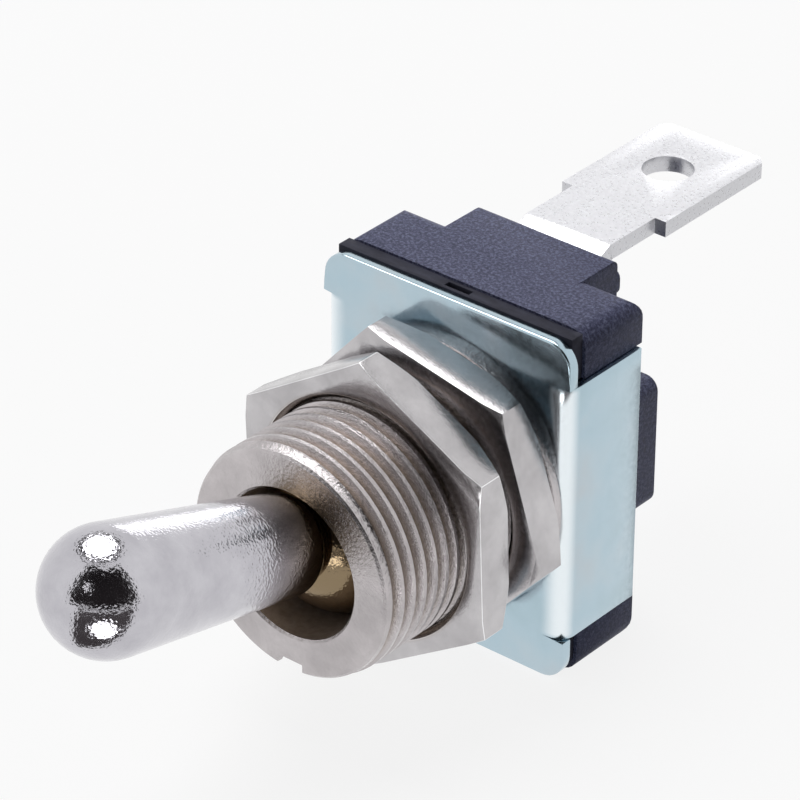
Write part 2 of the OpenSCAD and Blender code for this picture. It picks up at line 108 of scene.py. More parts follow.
def start_edit(obj, mode="VERT"):
    """Opens one object for editing, with nothing selected in it."""
    only(obj)
    bpy.ops.object.mode_set(mode="EDIT")
    bpy.ops.mesh.select_mode(type=mode)
    bpy.ops.mesh.select_all(action="DESELECT")


def end_edit():
    bpy.ops.object.mode_set(mode="OBJECT")


def pick(obj, kind, test):
    """Selects the vertices, edges or faces whose every corner passes the test."""
    bpy.ops.mesh.select_mode(type={"verts": "VERT", "edges": "EDGE", "faces": "FACE"}[kind])
    bpy.ops.mesh.select_all(action="DESELECT")
    mesh = bmesh.from_edit_mesh(obj.data)
    for part in getattr(mesh, kind):
        corners = [part] if kind == "verts" else part.verts
        if all(test(corner.co) for corner in corners):
            part.select_set(True)
    mesh.select_flush_mode()
    bmesh.update_edit_mesh(obj.data)


def settle(obj, name):
    """Names a piece and puts its place into its mesh."""
    only(obj)
    bpy.ops.object.transform_apply(location=True, rotation=True, scale=True)
    obj.name = name
    obj.data.name = name
    return obj


def modify(obj, kind, **settings):
    """Adds a modifier with these settings and applies it."""
    only(obj)
    modifier = obj.modifiers.new(kind, kind)
    for key, value in settings.items():
        setattr(modifier, key, value)
    bpy.ops.object.modifier_apply(modifier=modifier.name)


def combine(obj, tool, operation):
    """Joins obj to tool, cuts it by tool or keeps what is in both; tool is used up."""
    modify(obj, "BOOLEAN", object=tool, operation=operation, solver="EXACT")
    bpy.data.objects.remove(tool, do_unlink=True)


def soften(obj, width, segments=2, angle=35, edge_slot=-1):
    """Rounds the edges sharper than an angle, in a material slot if given, and shades smooth."""
    modify(obj, "BEVEL", width=width, segments=segments, limit_method="ANGLE",
           angle_limit=math.radians(angle), material=edge_slot)
    bpy.ops.object.shade_smooth_by_angle(angle=math.radians(35))


def turn_over(obj):
    """Flips every face, so that the sheet gets its thickness on the other side."""
    start_edit(obj)
    bpy.ops.mesh.select_all(action="SELECT")
    bpy.ops.mesh.flip_normals()
    end_edit()


def block(name, low, high):
    """A cube primitive stretched between two corners."""
    bpy.ops.object.select_all(action="DESELECT")
    middle = [(a + b) / 2 for a, b in zip(low, high)]
    bpy.ops.mesh.primitive_cube_add(size=1, location=middle)
    cube = bpy.context.object
    cube.scale = [b - a for a, b in zip(low, high)]
    return settle(cube, name)


def rounded_block(name, low, high, along, radius, segments, test=lambda co: True):
    """A block whose edges that run along one axis, and pass the test, are rounded."""
    obj = block(name, low, high)
    start_edit(obj, "EDGE")
    mesh = bmesh.from_edit_mesh(obj.data)
    for edge in mesh.edges:
        a, b = (corner.co for corner in edge.verts)
        edge.select_set(abs((a - b)["xyz".index(along)]) > 0.01 * MM and test((a + b) / 2))
    bmesh.update_edit_mesh(obj.data)
    bpy.ops.mesh.bevel(offset=radius, segments=segments, profile=0.5)
    end_edit()
    return obj


def beside(name, side, inner, outer, low, high):
    """A block on one side, between two distances from the middle; low and high are (y, z)."""
    start, end = sorted((side * inner, side * outer))
    return block(name, (start, *low), (end, *high))


def rod(name, radius, length, along, vertices, place=(0, 0, 0)):
    """A cylinder primitive along one axis, with its middle at a place."""
    bpy.ops.object.select_all(action="DESELECT")
    turn = {"x": (0, math.pi / 2, 0), "y": (math.pi / 2, 0, 0), "z": (0, 0, 0)}[along]
    bpy.ops.mesh.primitive_cylinder_add(vertices=vertices, radius=radius, depth=length,
                                        location=place, rotation=turn)
    return settle(bpy.context.object, name)


def near(a, b):
    """Whether two places along an axis are the same to 0.002 mm."""
    return abs(a - b) < 0.002 * MM


low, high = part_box("bracket")
sheet = 0.6 * MM
bend = 0.85 * MM
corner = 1.3 * MM
flange_z = 6.9 * MM
relief = 0.06 * MM
ear_w = 1.0 * MM
ear_reach = 1.35 * MM
plate_hole_r = 5.2 * MM
punch_l = 4 * MM
worn_edge = 0.12 * MM
sheet_edge = 0.04 * MM
slack = 0.01 * MM
half_w, half_h, flange_y = high[0], high[2], high[1]
bend_x = half_w - bend

bpy.ops.object.select_all(action="DESELECT")
bpy.ops.mesh.primitive_plane_add(size=1, rotation=(math.pi / 2, 0, 0))
plate = bpy.context.object
plate.scale = (2 * bend_x, 2 * half_h, 1)
settle(plate, "bracket_sheet")
start_edit(plate)
for cut in (flange_z, flange_z + relief, flange_z - ear_w):
    for side in (-1, 1):
        bpy.ops.mesh.select_all(action="SELECT")
        bpy.ops.mesh.bisect(plane_co=(0, 0, side * cut), plane_no=(0, 0, 1),
                            threshold=0.001 * MM)
for side in (-1, 1):
    pick(plate, "edges", lambda co: near(co.x, side * bend_x) and near(co.y, 0)
         and abs(co.z) < flange_z + slack)
    bpy.ops.mesh.spin(steps=8, angle=-side * math.pi / 2, center=(side * bend_x, bend, 0),
                      axis=(0, 0, 1))
    pick(plate, "edges", lambda co: near(co.x, side * half_w) and near(co.y, bend))
    bpy.ops.mesh.extrude_region_move(
        TRANSFORM_OT_translate={"value": (0, flange_y - bend, 0)})
    for end in (-1, 1):
        pick(plate, "edges", lambda co: near(co.x, side * half_w) and near(co.y, flange_y)
             and end * co.z > flange_z - ear_w - slack)
        bpy.ops.mesh.extrude_region_move(
            TRANSFORM_OT_translate={"value": (-side * ear_reach, 0, 0)})
    for end in (-1, 1):
        pick(plate, "edges", lambda co: near(co.x, side * bend_x) and near(co.y, 0)
             and end * co.z > flange_z + relief - slack)
        bpy.ops.mesh.extrude_region_move(TRANSFORM_OT_translate={"value": (side * bend, 0, 0)})
pick(plate, "edges", lambda co: near(abs(co.x), bend_x) and near(co.y, 0)
     and abs(co.z) > flange_z + relief - slack)
bpy.ops.mesh.dissolve_edges(use_verts=True)
pick(plate, "verts", lambda co: near(abs(co.x), half_w) and near(abs(co.z), half_h))
bpy.ops.mesh.bevel(affect="VERTICES", offset=corner, segments=8)
bpy.ops.mesh.select_all(action="SELECT")
bpy.ops.mesh.remove_doubles(threshold=0.001 * MM)
bpy.ops.mesh.normals_make_consistent(inside=False)
end_edit()
# the plate's own normal decides which way the sheet gets its thickness
middle_face = min(plate.data.polygons, key=lambda face: face.center.length)
if middle_face.normal.y > 0:
    turn_over(plate)
modify(plate, "SOLIDIFY", thickness=sheet, offset=-1, use_even_offset=True)
combine(plate, rod("punch", plate_hole_r, punch_l, "y", 128), "DIFFERENCE")
start_edit(plate)
pick(plate, "edges", lambda co: near(co.y, 0) and abs(co.z) > flange_z + relief + 2 * slack)
bpy.ops.mesh.bevel(offset=worn_edge, segments=3, profile=0.5)
end_edit()
soften(plate, sheet_edge)


def finish_nodes(name):
    """A new material: its nodes, links and shader."""
    material = bpy.data.materials.new(name)
    material.use_nodes = True
    nodes, links = material.node_tree.nodes, material.node_tree.links
    return material, nodes, links, nodes["Principled BSDF"]


def place_on(nodes):
    """The place on the object, in metres."""
    return nodes.new("ShaderNodeTexCoord").outputs["Object"]


def place_by_axis(nodes, links):
    """The place on the object as its outputs X, Y and Z."""
    parts = nodes.new("ShaderNodeSeparateXYZ")
    links.new(place_on(nodes), parts.inputs["Vector"])
    return parts.outputs


def worked_out(nodes, links, operation, *values):
    """The result of a maths node; each value is a number or an output."""
    maths = nodes.new("ShaderNodeMath")
    maths.operation = operation
    for socket, value in zip(maths.inputs, values):
        if isinstance(value, float):
            socket.default_value = value
        else:
            links.new(value, socket)
    return maths.outputs["Value"]


def noise_at(nodes, links, scale, detail=3.0, stretch=(1, 1, 1), roughness=0.55):
    """Noise on object coordinates; scale is in cycles a metre, and stretch thins it."""
    mapping = nodes.new("ShaderNodeMapping")
    mapping.inputs["Scale"].default_value = stretch
    noise = nodes.new("ShaderNodeTexNoise")
    noise.inputs["Scale"].default_value = scale
    noise.inputs["Detail"].default_value = detail
    noise.inputs["Roughness"].default_value = roughness
    links.new(place_on(nodes), mapping.inputs["Vector"])
    links.new(mapping.outputs["Vector"], noise.inputs["Vector"])
    return noise.outputs["Fac"]


def ramp_of(nodes, links, value, *stops):
    """A colour ramp through (place, colour) stops."""
    ramp = nodes.new("ShaderNodeValToRGB")
    elements = ramp.color_ramp.elements
    elements[0].position, elements[0].color = stops[0][0], (*stops[0][1], 1)
    elements[1].position, elements[1].color = stops[-1][0], (*stops[-1][1], 1)
    for place, colour in stops[1:-1]:
        elements.new(place).color = (*colour, 1)
    links.new(value, ramp.inputs["Fac"])
    return ramp.outputs["Color"]


def range_of(nodes, links, value, low_value, high_value):
    """Spreads a noise value, which keeps mostly to the middle of 0 to 1, between two numbers."""
    spread = nodes.new("ShaderNodeMapRange")
    spread.inputs["From Min"].default_value = 0.3
    spread.inputs["From Max"].default_value = 0.7
    spread.inputs["To Min"].default_value = low_value
    spread.inputs["To Max"].default_value = high_value
    links.new(value, spread.inputs["Value"])
    return spread.outputs["Result"]


def bump_from(nodes, links, shader, height, strength, distance):
    """Raises the surface by a height value, up to a distance."""
    bump = nodes.new("ShaderNodeBump")
    bump.inputs["Strength"].default_value = strength
    bump.inputs["Distance"].default_value = distance
    links.new(height, bump.inputs["Height"])
    links.new(bump.outputs["Normal"], shader.inputs["Normal"])


def fade(nodes, links, value, none_at, full_at):
    """Rises smoothly from 0 to 1 as a length goes from one place to another."""
    spread = nodes.new("ShaderNodeMapRange")
    spread.interpolation_type = "SMOOTHSTEP"
    spread.inputs["From Min"].default_value = none_at
    spread.inputs["From Max"].default_value = full_at
    links.new(value, spread.inputs["Value"])
    return spread.outputs["Result"]


def mixed(nodes, links, share, under, over):
    """Lays a plain colour over a colour output by a share."""
    mix = nodes.new("ShaderNodeMix")
    mix.data_type = "RGBA"
    mix.inputs["B"].default_value = (*over, 1)
    links.new(share, mix.inputs["Factor"])
    links.new(under, mix.inputs["A"])
    return mix.outputs["Result"]


def zinc_plating():
    """Pale blue passivated zinc: a cloudy tint, a rolled grain and a painted highlight along the
    folded bends.
    """
    material, nodes, links, shader = finish_nodes("zinc_plating")
    drift = noise_at(nodes, links, 210, 3)
    tint = ramp_of(nodes, links, drift, (0.30, (0.40, 0.52, 0.58)), (0.44, (0.43, 0.55, 0.62)),
                   (0.56, (0.46, 0.56, 0.62)), (0.72, (0.48, 0.54, 0.58)))
    place = place_by_axis(nodes, links)
    # on each axis: where the painted highlight along the bends stops, and where it is full
    painted_bend_highlight = 1.0
    for axis, none_at, full_at in (("X", bend_x - 0.6 * MM, bend_x + 0.5 * MM),
                                   ("Z", flange_z + relief, flange_z - 0.3 * MM),
                                   ("Y", 1.05 * bend, 0.3 * bend)):
        away = worked_out(nodes, links, "ABSOLUTE", place[axis])
        step = fade(nodes, links, away, none_at, full_at)
        painted_bend_highlight = worked_out(nodes, links, "MULTIPLY", painted_bend_highlight, step)
    links.new(mixed(nodes, links, painted_bend_highlight, tint, (0.82, 0.88, 0.91)), shader.inputs["Base Color"])
    shader.inputs["Metallic"].default_value = 1.0
    grain = noise_at(nodes, links, 3500, 3)
    links.new(range_of(nodes, links, grain, 0.15, 0.24), shader.inputs["Roughness"])
    bump_from(nodes, links, shader, grain, 0.10, 0.02 * MM)
    return material


def dress(obj, material):
    """Gives a piece one material."""
    obj.data.materials.clear()
    obj.data.materials.append(material)


dress(plate, zinc_plating())
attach(plate, "switch")
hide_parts("bracket")

# ---------------------------------------------------------------------------------------
# Insulator: a thin dark board cut to the case's outline, narrower between the flanges, with
# its lower corners cut round and one small notch in its upper edge. It keeps the live parts
# off the bracket, and the bushing's staked rim turns over in its hole.
low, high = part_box("insulator")
board_corner, board_hole_r, bend_room = 1.0 * MM, 5.7 * MM, 0.05 * MM
notch_x, notch_t, middle_y = 0.725 * MM, 0.35 * MM, (low[1] + high[1]) / 2
board = rounded_block("insulating_board", low, high, "y", board_corner, 5, lambda co: co.z < 0)
for side in (-1, 1):
    combine(board, beside("flange_room", side, bend_x - bend_room, 2 * high[0],
                          (0, -flange_z - relief), (2 * high[1], flange_z + relief)),
            "DIFFERENCE")
combine(board, rod("punch", board_hole_r, punch_l, "y", 96), "DIFFERENCE")
combine(board, block("notch", (-notch_x, middle_y - notch_t / 2, high[2] - notch_t),
                     (notch_x, middle_y + notch_t / 2, high[2] + notch_t)), "DIFFERENCE")
soften(board, sheet_edge)


def dark_board():
    """Almost black pressed board, with fibres along X."""
    material, nodes, links, shader = finish_nodes("dark_board")
    fibre = noise_at(nodes, links, 2600, 3, (0.35, 1, 1))
    links.new(ramp_of(nodes, links, fibre, (0.3, (0.018, 0.018, 0.030)),
                      (0.7, (0.040, 0.041, 0.064))), shader.inputs["Base Color"])
    shader.inputs["Roughness"].default_value = 0.7
    shader.inputs["Specular IOR Level"].default_value = 0.25
    bump_from(nodes, links, shader, fibre, 0.3, 0.02 * MM)
    return material


dress(board, dark_board())
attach(board, "switch")
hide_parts("insulator")

# ---------------------------------------------------------------------------------------
# Case: a dark blue-grey moulding with a fine matt grain, narrower between the flanges than
# above and below them. Its edges are rounded, a raised rib runs down the back with a lip
# round each terminal's way out, and a wider block crosses it at mid height.
low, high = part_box("case")
strip_low, strip_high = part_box("upper_terminal")
case_x, case_z, front_y, block_y = high[0], high[2], low[1], high[1]
rear_y, rib_y, lip_y, floor_y = 5.75 * MM, 7.8 * MM, 8.1 * MM, 5.3 * MM
waist_x, end_z = half_w - 0.71 * MM, flange_z + relief
rib_x, block_x, block_z, wall_x = 4.1 * MM, 6.35 * MM, 3.5 * MM, 3.8 * MM
way_x, way_z, way_t, strip_z = 2.53 * MM, 7.975 * MM, 0.91 * MM, 8.43 * MM
lip_h, lip_in, ear_room, channel_l = 0.65 * MM, 0.05 * MM, 0.03 * MM, 0.88 * MM
side_edge, rear_edge, block_edge = 0.9 * MM, 1.1 * MM, 0.7 * MM
rib_edge, fine_edge = 0.4 * MM, 0.15 * MM
past = 1 * MM

case = rounded_block("case_moulding", (-case_x, front_y, -case_z), (case_x, rear_y, case_z),
                     "y", side_edge, 6)
combine(case, rounded_block("rear_rounding", (-2 * case_x, front_y, -case_z),
                            (2 * case_x, rear_y, case_z), "x", rear_edge, 8,
                            lambda co: near(co.y, rear_y)), "INTERSECT")
for side in (-1, 1):
    combine(case, beside("flange_room", side, waist_x, 2 * case_x, (0, -end_z),
                         (block_y, end_z)), "DIFFERENCE")
combine(case, rounded_block("rib", (-rib_x, front_y, -case_z), (rib_x, rib_y, case_z), "x",
                            rib_edge, 5, lambda co: near(co.y, rib_y)), "UNION")
combine(case, rounded_block("middle", (-block_x, floor_y, -block_z), (block_x, block_y, block_z),
                            "y", block_edge, 6), "UNION")
for end in (-1, 1):
    middle_z = end * way_z
    combine(case, rounded_block("lip", (-rib_x + lip_in, floor_y, middle_z - lip_h),
                                (rib_x - lip_in, lip_y, middle_z + lip_h), "y",
                                rib_edge, 4), "UNION")
combine(case, block("hollow", (-wall_x, 0, -strip_z), (wall_x, floor_y, strip_z)), "DIFFERENCE")
combine(case, block("channel", (-way_x, floor_y - past, -strip_z),
                    (way_x, strip_low[1] + channel_l, strip_z)), "DIFFERENCE")
for end in (-1, 1):
    middle_z = end * way_z
    combine(case, block("way", (-way_x, strip_low[1], middle_z - way_t / 2),
                        (way_x, lip_y + past, middle_z + way_t / 2)), "DIFFERENCE")
    ear_z, ear_h = end * (flange_z - ear_w / 2), ear_w / 2 + ear_room
    for side in (-1, 1):
        combine(case, beside("ear_pocket", side, half_w - ear_reach - ear_room, 2 * case_x,
                             (flange_y - sheet - ear_room, ear_z - ear_h),
                             (block_y, ear_z + ear_h)), "DIFFERENCE")
soften(case, fine_edge)


def grained_moulding():
    """Blue-grey compound with a fine speckle and a matt spark-eroded surface."""
    material, nodes, links, shader = finish_nodes("grained_moulding")
    speck = noise_at(nodes, links, 6500, 4, roughness=0.75)
    links.new(ramp_of(nodes, links, speck, (0.36, (0.036, 0.038, 0.074)),
                      (0.5, (0.088, 0.094, 0.168)), (0.62, (0.200, 0.212, 0.325))),
              shader.inputs["Base Color"])
    shader.inputs["Specular IOR Level"].default_value = 0.15
    links.new(range_of(nodes, links, speck, 0.46, 0.62), shader.inputs["Roughness"])
    bump_from(nodes, links, shader, speck, 0.4, 0.02 * MM)
    return material


dress(case, grained_moulding())
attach(case, "switch")
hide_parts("case")

# ---------------------------------------------------------------------------------------
# Bushing: cast and nickel plated, with a rolled 32-to-the-inch thread, a plain collar
# against the plate, a keyway along its underside and a mouth that the lever comes out of.


def turned(name, outline, origin=(0, 0, 0), axis=(0, -1, 0), side=(0, 0, 1), steps=128):
    """A turned piece: (radius, length) points walked as a wire, then spun about the axis."""
    origin, axis, side = Vector(origin), Vector(axis).normalized(), Vector(side).normalized()
    places = [origin + side * radius + axis * length for radius, length in outline]
    bpy.ops.object.select_all(action="DESELECT")
    bpy.ops.mesh.primitive_plane_add(size=1 * MM)
    obj = bpy.context.object
    start_edit(obj)
    bpy.ops.mesh.select_all(action="SELECT")
    bpy.ops.mesh.merge(type="CENTER")
    bpy.ops.transform.translate(value=places[0])
    for start, end in zip(places, places[1:]):
        bpy.ops.mesh.extrude_vertices_move(TRANSFORM_OT_translate={"value": end - start})
    bpy.ops.mesh.select_all(action="SELECT")
    bpy.ops.mesh.spin(steps=steps, angle=2 * math.pi, center=origin, axis=axis)
    bpy.ops.mesh.select_all(action="SELECT")
    bpy.ops.mesh.remove_doubles(threshold=0.0005 * MM)
    bpy.ops.mesh.normals_make_consistent(inside=False)
    end_edit()
    return settle(obj, name)


def arc(centre, radius, start, end, steps):
    """(radius, length) points on an arc; angles in degrees from the radial direction."""
    turn = [math.radians(start + (end - start) * i / steps) for i in range(steps + 1)]
    return [(centre[0] + radius * math.cos(a), centre[1] + radius * math.sin(a)) for a in turn]


low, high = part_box("bushing")
bush_l = -low[1]
pivot = Vector(joints["lever_throw"]["pos_m"])
pivot_l = -pivot.y
thread_r, root_r, pitch = 5.95 * MM, 5.50 * MM, 25.4 / 32 * MM
lead_r, lead_step, lead_l, runout_l = 5.78 * MM, 0.04 * MM, 0.42 * MM, 0.75 * MM
collar_r, collar_t, collar_edge, mouth_edge = high[0], 0.5 * MM, 0.06 * MM, 0.12 * MM
shank_r, shank_l, stake_r, stake_l = 5.19 * MM, 0.62 * MM, 5.6 * MM, 1 * MM
mouth_r, seat_r, rear_r, seat_l = 3.85 * MM, 4.05 * MM, 4.6 * MM, 5.2 * MM
seat_edge = math.degrees(math.acos(mouth_r / seat_r))
bushing = turned("bushing_threaded", [
    (mouth_r + mouth_edge, bush_l), (lead_r - mouth_edge, bush_l),
    (lead_r, bush_l - mouth_edge), (lead_r + lead_step, bush_l - lead_l),
    (root_r, bush_l - runout_l), (root_r, collar_t), (collar_r - collar_edge, collar_t),
    (collar_r, collar_t - collar_edge), (collar_r, 0.0), (shank_r, 0.0), (shank_r, -shank_l),
    (stake_r, -shank_l), (stake_r, -stake_l), (rear_r, -stake_l), (rear_r, seat_l),
    (seat_r, seat_l), *arc((0, pivot_l), seat_r, 0, seat_edge, 5),
    (mouth_r, bush_l - mouth_edge), (mouth_r + mouth_edge, bush_l)])

# the thread's ridge: an open profile, sunk a little into the root and wound along the bushing
sunk, ridge_w, crest_share, ridge_y = 0.08 * MM, 0.9 * pitch, 0.30, 0.4 * MM
bpy.ops.object.select_all(action="DESELECT")
bpy.ops.mesh.primitive_plane_add(size=1, rotation=(0, math.pi / 2, 0))
ridge = bpy.context.object
ridge.scale = (thread_r - root_r + sunk, ridge_w, 1)
settle(ridge, "ridge")
start_edit(ridge)
bpy.ops.mesh.select_all(action="SELECT")
bpy.ops.transform.translate(value=(0, ridge_y, (thread_r + root_r - sunk) / 2))
pick(ridge, "edges", lambda co: co.z > thread_r - slack)
bpy.ops.transform.resize(value=(1, crest_share, 1), center_override=(0, ridge_y, thread_r))
bpy.ops.mesh.select_all(action="SELECT")
bpy.ops.mesh.delete(type="ONLY_FACE")
end_edit()
turns = int(bush_l / pitch) + 3
modify(ridge, "SCREW", axis="Y", angle=2 * math.pi, screw_offset=-pitch, iterations=turns,
       steps=64, render_steps=64, use_merge_vertices=True, merge_threshold=0.0001 * MM)
start_edit(ridge)
bpy.ops.mesh.select_all(action="SELECT")
bpy.ops.mesh.fill_holes(sides=8)
bpy.ops.mesh.normals_make_consistent(inside=False)
end_edit()
ridge_end, crest_end, skim = bush_l - 0.36 * MM, bush_l - 0.62 * MM, 0.01 * MM
ridge_start = collar_t - 0.05 * MM
combine(ridge, turned("envelope", [
    (0, ridge_end), (lead_r, ridge_end), (thread_r + skim, crest_end),
    (thread_r + skim, ridge_start), (0, ridge_start)], steps=96), "INTERSECT")
combine(bushing, ridge, "UNION")
key_x, key_top, key_bottom = 0.8 * MM, -5.2 * MM, -8 * MM
combine(bushing, block("keyway", (-key_x, -bush_l - past, key_bottom),
                       (key_x, -collar_t, key_top)), "DIFFERENCE")
groove_x, groove_r, groove_end = 4.9 * MM, 0.75 * MM, 3 * MM
combine(bushing, block("groove", (-groove_x, -pivot_l, -groove_r),
                       (groove_x, groove_end, groove_r)), "DIFFERENCE")
combine(bushing, rod("pin_way", groove_r, 2 * groove_x, "x", 48, pivot), "DIFFERENCE")
only(bushing)
bpy.ops.object.shade_smooth_by_angle(angle=math.radians(32))


def satin_nickel(name, tone, rough_low, rough_high, scale, height, shade_none_r, shade_full_r, shade_behind_l=None):
    """Grey nickel over a cast or rolled surface. It darkens to a warm brown from one radius to
    another, a painted warm shade in hollows such as the thread's grooves and round a nut's hole,
    and only behind a length along the axis, if one is given."""
    material, nodes, links, shader = finish_nodes(name)
    cloud = noise_at(nodes, links, 420, 4)
    plating = ramp_of(nodes, links, cloud, (0.32, tuple(c * 0.82 for c in tone)),
                      (0.68, tuple(c * 1.08 for c in tone)))
    flat = nodes.new("ShaderNodeVectorMath")
    flat.operation = "MULTIPLY"
    flat.inputs[1].default_value = (1, 0, 1)
    radial = nodes.new("ShaderNodeVectorMath")
    radial.operation = "LENGTH"
    links.new(place_on(nodes), flat.inputs[0])
    links.new(flat.outputs["Vector"], radial.inputs[0])
    # painted warm shade: none at one radius, full at the other
    painted_shade = fade(nodes, links, radial.outputs["Value"], shade_none_r, shade_full_r)
    if shade_behind_l is not None:
        behind = fade(nodes, links, place_by_axis(nodes, links)["Y"], -shade_behind_l - 0.5 * MM, -shade_behind_l)
        painted_shade = worked_out(nodes, links, "MULTIPLY", painted_shade, behind)
    links.new(mixed(nodes, links, painted_shade, plating, (0.39, 0.34, 0.305)),
              shader.inputs["Base Color"])
    shader.inputs["Metallic"].default_value = 1.0
    grain = noise_at(nodes, links, scale, 4, roughness=0.65)
    links.new(range_of(nodes, links, grain, rough_low, rough_high), shader.inputs["Roughness"])
    bump_from(nodes, links, shader, grain, 0.5, height)
    return material


def cast_bore():
    """The unpolished bore: duller than the outside, and paler and warmer than it, a painted warm
    light inside the bore.
    """
    material, nodes, links, shader = finish_nodes("cast_bore")
    grain = noise_at(nodes, links, 3000, 4)
    links.new(ramp_of(nodes, links, grain, (0.3, (0.54, 0.46, 0.42)), (0.7, (0.72, 0.64, 0.60))),
              shader.inputs["Base Color"])
    shader.inputs["Metallic"].default_value = 0.6
    shader.inputs["Roughness"].default_value = 0.45
    bump_from(nodes, links, shader, grain, 0.4, 0.03 * MM)
    return material


# the thread darkens to a painted warm shade from just under its crests to its roots, except near
# its front end
dress(bushing, satin_nickel("nickel_thread", (0.51, 0.48, 0.485), 0.10, 0.24, 5600, 0.11 * MM,
                            thread_r - 0.03 * MM, root_r, bush_l - 0.8 * MM))
bushing.data.materials.append(cast_bore())
# the bore's faces take the paler warm finish: painted light inside the bore
for face in bushing.data.polygons:
    in_bore = math.hypot(face.center.x, face.center.z) < rear_r + 0.1 * MM
    if in_bore and face.center.y > -bush_l + 1.25 * mouth_edge:
        face.material_index = 1
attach(bushing, "switch")
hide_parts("bushing")

# ---------------------------------------------------------------------------------------
# Nuts: two hexagon nuts cut from bar, nickel plated. Each has flat sides, turned chamfers on both
# faces, a painted highlight of paler nickel on its rounded edges and a lead-in chamfer at its
# thread.
# grain scale, bump height, and the radii between which a nut's face darkens to a painted warm
# shade round its hole
nut_looks = (5200, 0.02 * MM, 6.5 * MM, 6.05 * MM)
nut_finish = satin_nickel("nickel_nut", (0.52, 0.505, 0.515), 0.16, 0.27, *nut_looks)
# the rounded edges get a much paler nickel: a painted highlight
painted_edge_highlight = satin_nickel("burnished_edge", (0.88, 0.88, 0.89), 0.14, 0.24, *nut_looks)


def hex_nut(node, body, corner_angle):
    """One nut, turned about the bushing by corner_angle."""
    low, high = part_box(node)
    front, rear = -low[1], -high[1]
    across, nut_edge, over = 14.2 * MM, 0.07 * MM, 0.001 * MM
    crown_r, rear_rise, rear_l = 7.35 * MM, 1.15 * MM, 0.75 * MM
    front_in, front_out, front_l = 0.35 * MM, 1.4 * MM, 0.32 * MM
    tap_r, tap_rise, tap_lead, tap_over = 6.0 * MM, 0.34 * MM, 0.3 * MM, 0.04 * MM
    nut = rod(node + "_turned", across / math.sqrt(3), front - rear, "y", 6,
              (0, -(front + rear) / 2, 0))
    start_edit(nut)
    bpy.ops.mesh.select_all(action="SELECT")
    first = max(nut.data.vertices, key=lambda v: v.co.x).co
    now = math.atan2(first.z, first.x)
    bpy.ops.transform.rotate(value=math.radians(corner_angle) - now, orient_axis="Y",
                             center_override=(0, 0, 0))
    end_edit()
    combine(nut, turned("crown", [
        (0, rear - over), (crown_r, rear - over), (crown_r + rear_rise, rear + rear_l),
        (crown_r + front_out, front - front_l), (crown_r + front_in, front + over),
        (0, front + over)], steps=96), "INTERSECT")
    combine(nut, turned("tap", [
        (0, rear - past), (tap_r, rear - past), (tap_r, front - tap_lead),
        (tap_r + tap_rise, front + tap_over), (tap_r + tap_rise, front + past),
        (0, front + past)], steps=96), "DIFFERENCE")
    dress(nut, nut_finish)
    nut.data.materials.append(painted_edge_highlight)
    soften(nut, nut_edge, 2, 28, edge_slot=1)
    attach(nut, body)
    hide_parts(node)


hex_nut("rear_nut", "rear_nut", 48.66)
hex_nut("front_nut", "front_nut", 32.5)

# ---------------------------------------------------------------------------------------
# Lever: a bat turned from brass and plated bright, with a rounded end, a slight taper, a
# rounded shoulder, and the ball and stem that work inside the bushing.
slide_axis = Vector(joints["plunger_slide"]["axis"]).normalized()
bat_r, bat_l, root_bat, shoulder = 3.08 * MM, 16.97 * MM, 2.47 * MM, 5.0 * MM
stem_r, stem_l, ball_r, bore_r, bore_l = 1.9 * MM, 8.0 * MM, 4.0 * MM, 1.1 * MM, 4.6 * MM
stem_edge, pin_r, pin_drill = 0.15 * MM, 0.7 * MM, 12 * MM
lean = math.degrees(math.asin((bat_r - root_bat) / (bat_l - shoulder)))
ball_top = math.degrees(math.acos(stem_r / ball_r))
up_side = Vector((1, 0, 0)).cross(slide_axis) * -1
lever = turned("lever_bat", [
    (0, bat_l + bat_r), *arc((0, bat_l), bat_r, 88, -lean, 22),
    *arc((stem_r, shoulder), root_bat - stem_r, 0, -90, 6),
    *arc((0, 0), ball_r, ball_top, -ball_top, 24),
    (stem_r, -stem_l + stem_edge), (stem_r - stem_edge, -stem_l), (bore_r, -stem_l),
    (bore_r, -stem_l + bore_l), (0, -stem_l + bore_l)],
    origin=pivot, axis=slide_axis, side=up_side, steps=160)
combine(lever, rod("drill", pin_r, pin_drill, "x", 32, pivot), "DIFFERENCE")
only(lever)
bpy.ops.object.shade_smooth_by_angle(angle=math.radians(35))


def bright_plating():
    """Bright plating with an orange-peel skin; it turns a dark golden tone near the ball."""
    material, nodes, links, shader = finish_nodes("bright_plating")
    cloud = noise_at(nodes, links, 700, 4, roughness=0.6)
    skin = ramp_of(nodes, links, cloud, (0.3, (0.47, 0.46, 0.495)), (0.7, (0.56, 0.55, 0.585)))
    from_pivot = nodes.new("ShaderNodeVectorMath")
    from_pivot.operation = "DISTANCE"
    from_pivot.inputs[1].default_value = pivot
    links.new(place_on(nodes), from_pivot.inputs[0])
    golden_near_ball = fade(nodes, links, from_pivot.outputs["Value"], 9.5 * MM, 5.2 * MM)
    links.new(mixed(nodes, links, golden_near_ball, skin, (0.24, 0.18, 0.11)),
              shader.inputs["Base Color"])
    shader.inputs["Metallic"].default_value = 1.0
    links.new(range_of(nodes, links, cloud, 0.08, 0.16), shader.inputs["Roughness"])
    peel = noise_at(nodes, links, 6500, 1.5, roughness=0.5)
    bump_from(nodes, links, shader, peel, 0.5, 0.035 * MM)
    return material


dress(lever, bright_plating())
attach(lever, "lever")
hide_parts("lever")

